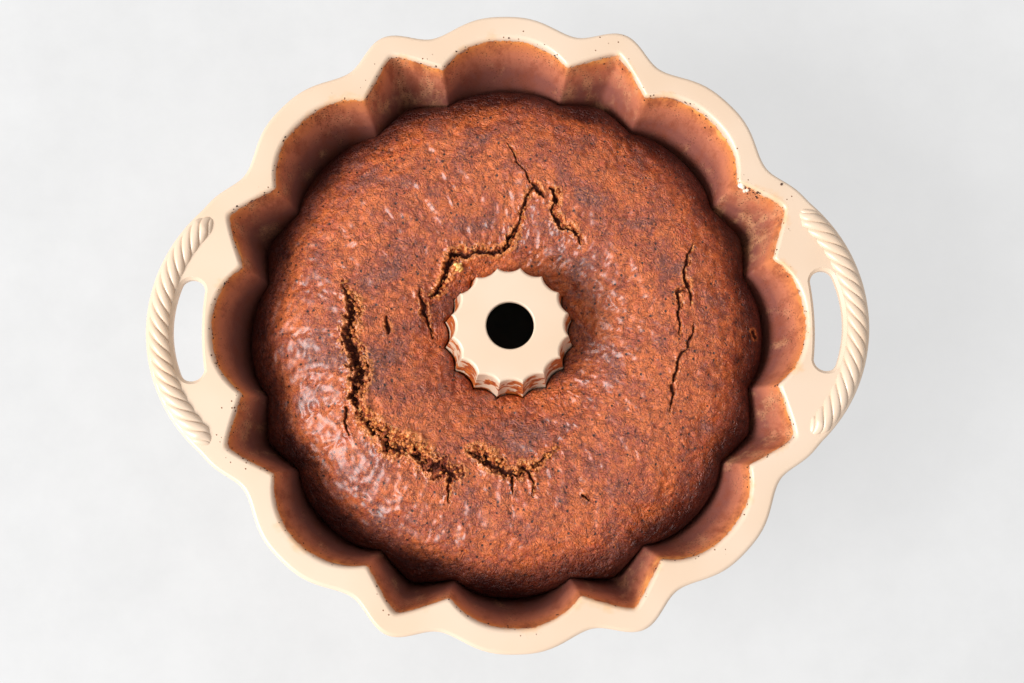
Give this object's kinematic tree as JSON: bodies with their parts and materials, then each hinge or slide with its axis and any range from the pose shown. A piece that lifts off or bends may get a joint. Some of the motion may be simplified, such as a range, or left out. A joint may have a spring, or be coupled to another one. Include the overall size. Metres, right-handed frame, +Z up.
{
  "type": "carrot ring cake in its fluted pan",
  "caption": "Baked ring cake with a domed, cracked brown crust, in the fluted cast pan it was baked in, with a centre tube and rope-edged handles",
  "frame": {"origin": "centre of the pads that the pan stands on, on the axis of its centre tube", "axes": "+Z up out of the pan's mouth, +X through one handle, +Y completes the right-handed frame"},
  "size_m": [0.3092, 0.2756, 0.1126],
  "materials": {
    "pan_coating": "satin cream non-stick coating on cast aluminium, with brown baked-on film inside",
    "cake_crust": "glossy, finely wrinkled brown baked crust"
  },
  "bodies": {
    "root": {"fluted_pan": "pan_coating", "cake": "cake_crust"}
  },
  "joints": []
}
